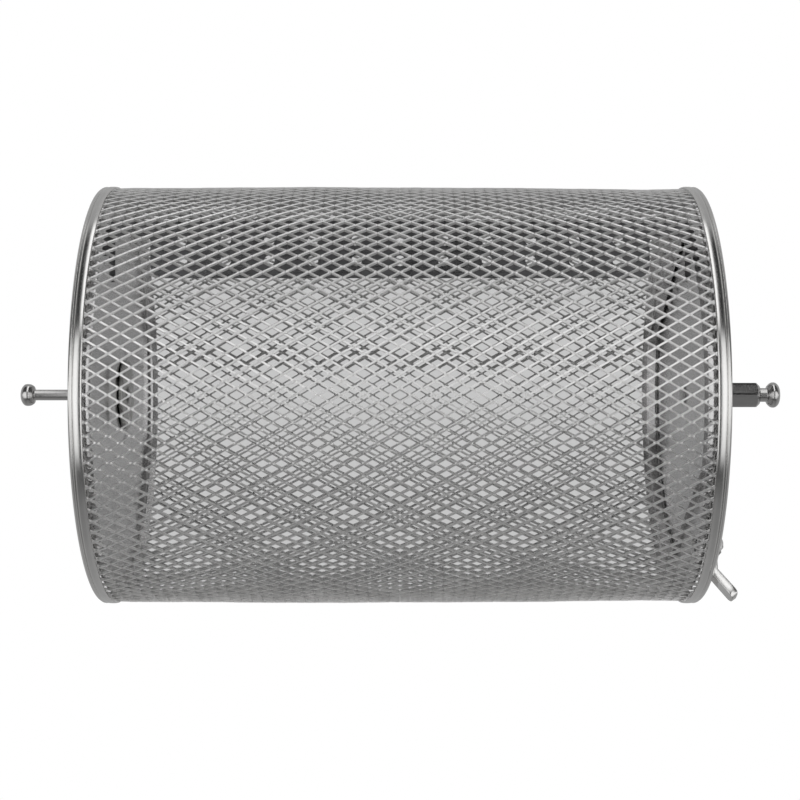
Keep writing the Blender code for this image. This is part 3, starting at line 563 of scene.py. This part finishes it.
def vane():
    """The perforated strip with its legs and its end tabs: a flat plate with round holes, given thickness."""
    lip, flange = OPENING_R + LIP_CLEAR, FLANGE_R - LIP_CLEAR
    heel = math.sqrt(lip ** 2 - VANE_FACE ** 2)
    shoulder = math.sqrt(flange ** 2 - VANE_FACE ** 2)
    toe = LIP_END - 0.6
    leg = VANE_REACH - 4.2
    half = [
        (FLANGE_END - 0.6, VANE_TOP, 0), (FLANGE_END - 0.6, shoulder, 0), (VANE_REACH, shoulder, 0),
        (VANE_REACH, heel, 0), (toe, heel, 0), (toe, VANE_TOP - 16.8, 0.8), (leg, VANE_TOP - 16.8, 0.8),
        (leg, VANE_TOP - 4.4, 1.2), (leg - 9.5, VANE_TOP - 4.4, 1.5), (leg - 9.5, VANE_TOP - 15.7, 4.0),
    ]
    corners = half + [(-x, z, f) for x, z, f in reversed(half)]
    loops = [rounded(corners, steps=8)]
    steps = np.arange(24) * math.pi / 12
    for drop in HOLE_ROWS:
        for i in range(-5, 6):
            x, z = i * HOLE_PITCH, VANE_TOP - drop
            loops.append([(x + VANE_HOLE * math.cos(a), z + VANE_HOLE * math.sin(a)) for a in steps])
    shape = bmesh.new()
    for loop in loops:
        points = [shape.verts.new((x * MM, VANE_FACE * MM, z * MM)) for x, z in loop]
        for near, far in zip(points, points[1:] + points[:1]):
            shape.edges.new((near, far))
    bmesh.ops.triangle_fill(shape, use_beauty=True, edges=shape.edges)
    grown = bmesh.ops.extrude_face_region(shape, geom=shape.faces)["geom"]
    for corner in (v for v in grown if isinstance(v, bmesh.types.BMVert)):
        corner.co.y += VANE_SHEET * MM
    inner = VANE_FACE + TAB_REACH
    for side in (-1, 1):
        tab = [
            (VANE_FACE, heel), (inner, math.sqrt(lip ** 2 - inner ** 2)),
            (inner, math.sqrt(flange ** 2 - inner ** 2) - 0.6), (VANE_FACE, shoulder),
        ]
        planes = (VANE_REACH - VANE_SHEET, VANE_REACH)
        verts, faces = loft([[(side * x, y, z) for y, z in tab] for x in planes])
        new = [shape.verts.new(Vector(v) * MM) for v in verts]
        for face in faces:
            shape.faces.new([new[i] for i in face])
    bmesh.ops.recalc_face_normals(shape, faces=shape.faces)
    mesh = bpy.data.meshes.new("vane_plate")
    shape.to_mesh(mesh)
    shape.free()
    item = put("vane_plate", mesh)
    mesh.materials.append(SHADED_VANE_STEEL)
    mesh.shade_smooth()
    mesh.set_sharp_from_angle(angle=math.radians(35))
    soften(item, 0.1, 1, 30)
    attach(item, "drum")
    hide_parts("lifting_vane")


vane()


# ---------------------------------------------------------------- rivets, nut, axle and hex driver

RIVET_SHANK, RIVET_HEAD, RIVET_RISE = 0.9, 1.5, 0.6


def rivet(name, node, body, place, x_low, x_high, side=1, door=False):
    """A domed rivet with its bucked tail."""
    low, high = x_low - GAP, x_high + GAP
    tail = low - RIVET_RISE
    profile = [(tail, 0.001), (tail, 1.0), (tail + 0.15, 1.2), (low, RIVET_HEAD)]
    profile += [(low, RIVET_SHANK), (high, RIVET_SHANK), (high, RIVET_HEAD)]
    for a in np.linspace(0.2, math.pi / 2, 8):
        profile.append((high + RIVET_RISE * math.sin(a), RIVET_HEAD * math.cos(a)))
    shape = turned([(side * x, r) for x, r in profile], 28, centre=place)
    piece(name, *shape, body, [node], "rivet_steel", door=door, smooth=50)


def hexed(x, flats, limit, sides):
    """A hexagon loop with flats at top and bottom, its corners turned down to a limit."""
    loop = []
    for i in range(sides):
        angle = i * 2 * math.pi / sides
        off = angle - math.pi / 3 * round(angle / (math.pi / 3))
        reach = min(flats / 2 / math.cos(off), limit)
        loop.append((x, reach * math.sin(angle), -reach * math.cos(angle)))
    return loop


def nut(name, node, body, low, high, flats, hole):
    """A hex nut whose corners are turned down at both ends."""
    sides = 72
    corner = flats / 2 / math.cos(math.pi / 6)
    face = flats / 2 * 0.97
    rise = 0.32
    loops = [ring(high - 0.3, hole, sides), ring(high, hole + 0.3, sides), hexed(high, flats, face, sides)]
    for t in (0.35, 0.7, 1.0):
        loops.append(hexed(high - rise * t ** 1.6, flats, face + (corner - face) * t, sides))
    for t in (1.0, 0.7, 0.35):
        loops.append(hexed(low + rise * t ** 1.6, flats, face + (corner - face) * t, sides))
    loops += [hexed(low, flats, face, sides), ring(low, hole + 0.3, sides), ring(low + 0.3, hole, sides)]
    piece(name, *loft(loops, closed=True), body, [node], "nut_steel", smooth=28)


def threaded(start, end, radius, pitch, depth):
    """Profile points of a row of rolled ridges."""
    out = []
    count = int((end - start) / pitch)
    for i in range(count):
        x = start + pitch * i
        out += [(x, radius - depth), (x + pitch * 0.35, radius), (x + pitch * 0.65, radius)]
    out.append((start + pitch * count, radius - depth))
    return out


PEEN_LAND, PEEN_RISE = 1.0, 0.7


def peened(x, radius):
    """Profile points of a shaft's inner end, spread by blows into a low head."""
    spread = radius + PEEN_LAND
    arc = [(x - PEEN_RISE * math.cos(a), spread * math.sin(a)) for a in np.linspace(0.25, math.pi / 2, 8)]
    return [(arc[0][0], 0.001)] + arc + [(x, radius)]


DISC_R = 10.0
PIN_R = 1.55
PIN_HEAD_R = 3.18
STUD_R = 2.0
KNOB_R = 3.67
HEX_FLATS = 7.0
NUT_FLATS, NUT_THICK = 5.5, 2.4

disc_face = PLATE_IN - BOSS_RISE - GAP
disc_back = disc_face - 1.1
disc = rounded([
    (disc_face, PIN_HOLE), (disc_face, DISC_R, 0.15), (disc_back, DISC_R, 0.35), (disc_back, PIN_HOLE),
])
piece("pin_disc", *turned([(-x, r) for x, r in disc], 96, closed=True), "drum", ["left_backing_disc"],
      "nut_steel", smooth=40)
outside = PLATE_OUT - BOSS_RISE + GAP
nut("pin_nut_outer", "left_outer_nut", "drum", -(outside + NUT_THICK), -outside, NUT_FLATS, PIN_HOLE)

head = AXLE_TIP - 4.0
pin_profile = peened(disc_back - GAP, PIN_R) + threaded(disc_face + 0.4, outside + 4.2, PIN_R, 0.5, 0.22)
pin_profile += [(outside + 4.6, PIN_R)]
pin_profile += rounded([
    (outside + 5.0, PIN_R), (head, PIN_R, 0.2), (head + 0.15, 2.5, 0.3), (head + 1.2, PIN_HEAD_R, 0.7),
    (head + 2.9, PIN_HEAD_R, 0.7), (head + 3.75, 2.0, 0.6), (AXLE_TIP, 0.95, 0.2), (AXLE_TIP, 0.001),
], closed=False)
pin = turned([(-x, r) for x, r in pin_profile], 48)
piece("axle_pin", *pin, "drum", ["left_axle_pin"], "axle_steel", smooth=50)

base = LID_OUT + GAP
knob = AXLE_TIP - 3.5
hex_end = knob - 2.3
stud_profile = peened(LID_IN - GAP, STUD_R) + rounded([
    (base + 0.3, STUD_R), (knob, STUD_R, 0.25), (knob, 2.6, 0.15), (knob + 1.05, KNOB_R, 0.8),
    (knob + 2.38, KNOB_R, 0.9), (knob + 3.2, 2.9, 0.5), (AXLE_TIP, 2.05, 0.3), (AXLE_TIP, 0.001),
], closed=False)
piece("stud", *turned(stud_profile, 56), "lid", ["drive_stud"], "axle_steel", door=True, smooth=50)


def hex_driver():
    """A long hex sleeve with level flats and a conical end."""
    sides = 96
    corner = HEX_FLATS / 2 / math.cos(math.pi / 6)
    cone_run, cone_tip = 1.35, 2.75
    loops = [
        ring(base, STUD_HOLE, sides), hexed(base, HEX_FLATS, corner - 0.15, sides),
        hexed(base + 0.15, HEX_FLATS, corner, sides),
    ]
    for t in np.linspace(0, 1, 7):
        loops.append(hexed(hex_end - cone_run * (1 - t), HEX_FLATS, corner - (corner - cone_tip) * t, sides))
    loops.append(ring(hex_end, STUD_HOLE, sides))
    return loft(loops, closed=True)


piece("hex_sleeve", *hex_driver(), "lid", ["hex_driver"], "axle_steel", smooth=24)

VANE_RIVET_R, VANE_RIVET_IN = 54.2, 4.9   # from the axis, and in from the vane's face
vane_y = VANE_FACE + VANE_RIVET_IN
vane_place = (vane_y, math.sqrt(VANE_RIVET_R ** 2 - vane_y ** 2))
rivet("vane_rivet_l", "vane_rivet_left", "drum", vane_place, VANE_REACH - VANE_SHEET, PLATE_OUT, side=-1)
rivet("vane_rivet_r", "vane_rivet_right", "drum", vane_place, VANE_REACH - VANE_SHEET, PLATE_OUT)
ring_leaf_top, lid_leaf_top = LID_IN + SMALL_SHEET, LID_OUT + GAP + SMALL_SHEET
for i, y in enumerate((-5.0, 5.0), 1):
    ring_place, lid_place = (y, HINGE_Z + 5.6), (y, HINGE_Z - 12.3)
    rivet(f"ring_rivet_{i}", f"hinge_ring_rivet_{i}", "drum", ring_place, PLATE_IN, ring_leaf_top, door=True)
    rivet(f"lid_rivet_{i}", f"hinge_lid_rivet_{i}", "lid", lid_place, LID_IN, lid_leaf_top, door=True)
rivet("latch_rivet_dome", "latch_rivet", "lid", (0, PIVOT_Z + 11.2), LID_IN, lid_leaf_top, door=True)


# ---------------------------------------------------------------- hinge

LEAF_HALF = 8.0                           # half the leaves' width along the pin
LID_KNUCKLE = 3.0                         # half the middle knuckle, which is the lid's
RING_KNUCKLE = LID_KNUCKLE + GAP
RING_TAIL, LID_TAIL = 9.5, 13.5
KNUCKLE_CLEAR = 2.25                      # a leaf's plate beside the other leaf's knuckle


def knuckle(start, end, steps=24):
    """An arc of a knuckle's outside."""
    angles = np.linspace(start, end, steps + 1)
    return [(HINGE_X + KNUCKLE_R * math.cos(a), HINGE_Z + KNUCKLE_R * math.sin(a)) for a in angles]


def leaves():
    """Each leaf's plate with its knuckles, as one shape per leaf: the drum's, and the lid's."""
    low, high = LID_IN, LID_IN + SMALL_SHEET
    tail, start = HINGE_Z + RING_TAIL, HINGE_Z + KNUCKLE_CLEAR
    meet = math.acos((HINGE_X - high) / KNUCKLE_R)
    section = knuckle(math.pi - meet, -math.pi) + [(low, tail), (high, tail)]
    plate = [(low, start), (high, start), (high, tail), (low, tail)]
    ring_shape = merge(
        prism(section, -LEAF_HALF, -RING_KNUCKLE), prism(section, RING_KNUCKLE, LEAF_HALF),
        prism(plate, -RING_KNUCKLE, RING_KNUCKLE),
    )
    low, high = LID_OUT + GAP, LID_OUT + GAP + SMALL_SHEET
    tail, start = HINGE_Z - LID_TAIL, HINGE_Z - KNUCKLE_CLEAR
    first = -math.acos((high - HINGE_X) / KNUCKLE_R)
    last = 2 * math.pi - math.acos((low - HINGE_X) / KNUCKLE_R)
    section = knuckle(first, last) + [(low, tail), (high, tail)]
    plate = [(low, start), (high, start), (high, tail), (low, tail)]
    lid_shape = merge(
        prism(section, -LID_KNUCKLE, LID_KNUCKLE), prism(plate, -LEAF_HALF, -LID_KNUCKLE),
        prism(plate, LID_KNUCKLE, LEAF_HALF),
    )
    return ring_shape, lid_shape


def headed_pin(x, z, end):
    """A pin along Y whose two ends have the same head, from its tip in to the shank."""
    return rod_y(x, z, [(-y, r) for y, r in end] + [(y, r) for y, r in reversed(end)])


ring_leaf, lid_leaf = leaves()
piece("ring_leaf_plate", *ring_leaf, "drum", ["hinge_ring_leaf"], "hinge_steel", door=True, bevel=0.1)
piece("lid_leaf_plate", *lid_leaf, "lid", ["hinge_lid_leaf"], "hinge_steel", door=True, bevel=0.1)
pin_shape = headed_pin(HINGE_X, HINGE_Z, (
    (8.75, 0.05), (8.75, 0.6), (8.55, 1.0), (8.3, 1.2), (8.25, 0.6),
))
piece("hinge_pin_rod", *pin_shape, "drum", ["hinge_pin"], "hinge_steel", door=True, smooth=40)


# ---------------------------------------------------------------- latch

LEVER_FLOOR = LID_OUT + GAP + SMALL_SHEET + GAP
RAKE = math.radians(36.0)
LEVER_BEND, LEVER_PROUD = 3.8, 4.0
LEVER_HALF, LEVER_WALL = 1.95, 2.4        # half the channel's width, and its walls' height past the bend


def lever():
    """The pressed channel: flat over the pivot, then raked out over the rim to a rounded tab."""
    normal_flat = np.array((1.0, 0, 0))
    normal_rake = np.array((math.cos(RAKE), 0, math.sin(RAKE)))
    along_rake = np.array((math.sin(RAKE), 0, -math.cos(RAKE)))
    bend_z = LEVER_BEND - RIM_R
    length = (LEVER_BEND + LEVER_PROUD) / math.cos(RAKE)
    stations = []

    def flat(z, wall, half=LEVER_HALF):
        stations.append((np.array((LEVER_FLOOR, 0, z)), normal_flat, wall, half))

    flat(PIVOT_Z + 1.5, 3.2, 1.8)
    for offset, wall in ((1.3, 3.9), (0.7, 4.5), (-0.2, 4.6), (-1.6, 4.5), (-2.6, 3.6), (-4.0, 2.6)):
        flat(PIVOT_Z + offset, wall)
    bend_run = 0.9
    radius = bend_run / math.tan(RAKE / 2)
    for angle in np.linspace(0, RAKE, 5):
        x = LEVER_FLOOR + radius * (1 - math.cos(angle))
        z = bend_z + bend_run - radius * math.sin(angle)
        normal = np.array((math.cos(angle), 0, math.sin(angle)))
        stations.append((np.array((x, 0, z)), normal, LEVER_WALL, LEVER_HALF))
    origin = np.array((LEVER_FLOOR, 0, bend_z))
    for short, wall, half in (
        (3.0, 2.45, 2.0), (1.9, 2.45, 2.0), (1.1, 2.4, 1.9), (0.55, 2.2, 1.6),
        (0.2, 1.9, 1.15), (0.05, 1.6, 0.7), (0, 1.3, 0.35),
    ):
        stations.append((origin + along_rake * (length - short), normal_rake, wall, half))
    loops = []
    for place, normal, wall, half in stations:
        s = SMALL_SHEET
        inner = max(half - s, 0.05)
        r = min(0.35, half * 0.3)
        section = [
            (-half, r), (-half + r * 0.3, r * 0.3), (-half + r, 0),
            (half - r, 0), (half - r * 0.3, r * 0.3), (half, r),
            (half, wall - 0.1), (half - 0.1, wall), (inner + 0.1, wall), (inner, wall - 0.1),
            (inner, s), (-inner, s),
            (-inner, wall - 0.1), (-inner - 0.1, wall), (-half + 0.1, wall), (-half, wall - 0.1),
        ]
        loops.append([tuple(place + np.array((0, y, 0)) + normal * rise) for y, rise in section])
    root, end = LEVER_FLOOR + 0.25, PLATE_IN - GAP
    low, high = PIVOT_Z - HOOK_HALF, PIVOT_Z + HOOK_HALF
    barb = SLOT_TOP + 1.0
    hook = prism([
        (root, low), (end - 0.7, low), (end - 0.7, barb - 0.35), (end - 0.35, barb), (end, barb), (end, high),
        (root, high),
    ], -1.0, 1.0)
    return merge(loft(loops), hook)


piece("latch_lever_channel", *lever(), "latch", ["latch_lever"], "latch_steel", door=True, smooth=40)


def bracket():
    """The foot riveted to the lid, with two ears for the lever's pin."""
    low, high = LID_OUT + GAP, LID_OUT + GAP + SMALL_SHEET
    inner, outer = 2.25, 2.75
    step = PIVOT_Z + 2.1
    tip = PIVOT_Z - 1.5
    top = PIVOT_X + 1.5
    heel = PIVOT_Z + 13.3
    foot = rounded([(-outer, step, 0), (outer, step, 0), (outer, heel, 1.6), (-outer, heel, 1.6)], steps=6)
    shapes = [loft([[(x, y, z) for y, z in foot] for x in (low, high)])]
    ear = rounded([
        (low, step + 0.9), (low, tip, 0.4), (top, tip, 1.4), (top, step, 1.4), (high + 0.6, step + 0.9),
    ], steps=6)
    for side in (-1, 1):
        shapes.append(loft([[(x, side * y, z) for x, z in ear] for y in (inner, outer)]))
    return merge(*shapes)


piece("latch_bracket_plate", *bracket(), "lid", ["latch_bracket"], "latch_steel", door=True, bevel=0.08)
pin_shape = headed_pin(PIVOT_X, PIVOT_Z, (
    (3.55, 0.05), (3.55, 0.5), (3.4, 0.9), (3.1, 1.15), (3.05, 0.6),
))
piece("latch_pin_rod", *pin_shape, "lid", ["latch_pin"], "axle_steel", door=True, smooth=40)


def spring():
    """A torsion spring swept round the latch pin."""
    turns, pitch, coil, wire = 3, 0.62, 1.15, 0.2
    half = pitch * turns / 2
    centre = np.array((PIVOT_X, 0, PIVOT_Z))
    per_turn = 28
    points = [
        np.array((LID_OUT + GAP + SMALL_SHEET + 0.4, -half, PIVOT_Z + 3.6)),
        centre + (-coil, -half, 1.8), centre + (-coil, -half, 0.8),
    ]
    for i in range(turns * per_turn + 1):
        turn = 2 * math.pi * i / per_turn
        points.append(centre + (-coil * math.cos(turn), -half + pitch * i / per_turn, -coil * math.sin(turn)))
    points.append(centre + (-coil, half, -1.2))
    loops = []
    for i, point in enumerate(points):
        ahead = points[min(i + 1, len(points) - 1)] - points[max(i - 1, 0)]
        ahead /= np.linalg.norm(ahead)
        across = np.cross(ahead, (0, 1, 0))
        across /= np.linalg.norm(across)
        up = np.cross(across, ahead)
        steps = np.arange(10) * math.pi / 5
        loops.append([tuple(point + wire * (across * math.cos(a) + up * math.sin(a))) for a in steps])
    return loft(loops)


piece("latch_spring_wire", *spring(), "lid", ["latch_spring"], "spring_steel", door=True, smooth=60)


# ---------------------------------------------------------------- stage, light and camera

FLOOR_REACH = 3000.0
FLOOR_LEVEL = -(RIM_R + 0.6)


def camera_only(tree, seen, unseen):
    """One shader for camera rays, and another for all other light."""
    path = add(tree, "LightPath")
    return add(tree, "MixShader", {"Fac": path.outputs["Is Camera Ray"], 1: unseen, 2: seen}).outputs[0]


def stage_material(name, kind, colour):
    """A material that only camera rays see: a light or a clear tint."""
    material, tree, shader = new_material(name)
    seen = add(tree, kind, {"Color": colour})
    clear = add(tree, "BsdfTransparent")
    surface = camera_only(tree, seen.outputs[0], clear.outputs[0])
    tree.links.new(surface, tree.nodes["Material Output"].inputs["Surface"])
    tree.nodes.remove(shader)
    return material


def stage_floor():
    """A pale floor under the rims, which shows plain white and reflects nothing onto the metal."""
    mesh = bpy.data.meshes.new("floor")
    corners = ((-1, -1), (1, -1), (1, 1), (-1, 1))
    mesh.from_pydata([(x * FLOOR_REACH * MM, y * FLOOR_REACH * MM, FLOOR_LEVEL * MM) for x, y in corners],
                     [], [(0, 1, 2, 3)])
    mesh.materials.append(stage_material("floor_paint", "Emission", (1, 1, 1, 1)))
    floor = put("floor", mesh)


SHADE_TINT = 0.746                         # crossed twice, it leaves a light grey of painted shade
VEIL_R, VEIL_REACH = 58.2, 83.0


def shade_veil():
    """A tinted film just inside the sleeve, seen only by camera rays: painted shade that greys whatever shows
    through the mesh.
    """
    mesh = bpy.data.meshes.new("film")
    sides = 128
    verts = [tuple(v * MM for v in p) for x in (-VEIL_REACH, VEIL_REACH) for p in ring(x, VEIL_R, sides)]
    faces = [(i, (i + 1) % sides, sides + (i + 1) % sides, sides + i) for i in range(sides)]
    mesh.from_pydata(verts, [], faces)
    # Painted shade: a grey tint that camera rays pick up on their way into the drum.
    mesh.materials.append(stage_material("painted_shade_film", "BsdfTransparent", (*[SHADE_TINT] * 3, 1)))
    film = put("film", mesh)


# Tones of the studio by height, in degrees from the camera's side up and over to the back: straight ahead
# of the camera, in the two soft boxes beside it, and far out at the sides.
MIDDLE = ((-180, 0.42), (-95, 0.32), (-60, 0.24), (-45, 0.10), (0, 0.06), (30, 0.10), (42, 1.40), (100, 1.40),
          (108, 0.45), (180, 0.42))
BESIDE = ((-180, 0.42), (-95, 0.28), (-60, 0.20), (-40, 0.07), (-30, 0.95), (-12, 1.25), (14, 1.25),
          (28, 1.0), (37, 0.03), (92, 0.03), (106, 0.38), (180, 0.42))
ASIDE = ((-180, 0.46), (-90, 0.34), (-50, 0.25), (-30, 0.80), (0, 1.15), (28, 1.0), (40, 0.12), (92, 0.12),
         (108, 0.45), (180, 0.46))


MIDDLE_EDGE = (0.11, 0.17)                # how far aside the middle's tones give way, as a direction's X
BESIDE_EDGE = (0.40, 0.58)


def studio():
    """A white backdrop to the camera; to the metal, soft boxes beside it, overhead, and grey paper behind."""
    world = bpy.data.worlds.new("studio")
    bpy.context.scene.world = world
    world.use_nodes = True
    tree = world.node_tree
    tree.nodes.clear()
    direction = add(tree, "SeparateXYZ", {0: add(tree, "TexCoord").outputs["Generated"]})
    front = add(tree, "Math", {0: direction.outputs["Y"], 1: -1}, operation="MULTIPLY")
    angle = add(tree, "Math", {0: direction.outputs["Z"], 1: front.outputs[0]}, operation="ARCTAN2")
    share = add(tree, "MapRange", {"Value": angle.outputs[0], "From Min": -math.pi, "From Max": math.pi})
    aside = add(tree, "Math", {0: direction.outputs["X"]}, operation="ABSOLUTE")

    def ramp(tones):
        node = add(tree, "ValToRGB", {"Fac": share.outputs[0]})
        stops = node.color_ramp.elements
        while len(stops) < len(tones):
            stops.new(0.5)
        for stop, (degrees, tone) in zip(stops, tones):
            stop.position = (degrees + 180) / 360
        for stop, (degrees, tone) in zip(stops, tones):
            stop.color = (tone, tone, tone, 1)
        return node.outputs["Color"]

    def crossfade(near, far, edge):
        step = add(tree, "MapRange", {"Value": aside.outputs[0], "From Min": edge[0], "From Max": edge[1]},
                   interpolation_type="SMOOTHSTEP")
        return add(tree, "MixRGB", {"Fac": step.outputs[0], "Color1": near, "Color2": far}).outputs["Color"]

    inner = crossfade(ramp(MIDDLE), ramp(BESIDE), MIDDLE_EDGE)
    tones = crossfade(inner, ramp(ASIDE), BESIDE_EDGE)
    lit = add(tree, "Background", {"Color": tones})
    white = add(tree, "Background", {"Color": (1, 1, 1, 1)})
    surface = camera_only(tree, white.outputs[0], lit.outputs[0])
    add(tree, "OutputWorld", {"Surface": surface})


LENS, CAMERA_DISTANCE, CAMERA_SHIFT = 72.81, 470.0, -0.00625


def camera():
    """A camera level with the axle, straight in front of the drum's middle."""
    data = bpy.data.cameras.new("camera")
    data.lens = LENS
    data.sensor_width = 36
    data.shift_y = CAMERA_SHIFT
    data.clip_start = 0.01
    item = bpy.data.objects.new("camera", data)
    item.location = (0, -CAMERA_DISTANCE * MM, 0)
    item.rotation_euler = (math.pi / 2, 0, 0)
    bpy.context.scene.collection.objects.link(item)
    bpy.context.scene.camera = item


stage_floor()
shade_veil()
studio()
camera()
bpy.context.scene.view_settings.view_transform = "Standard"
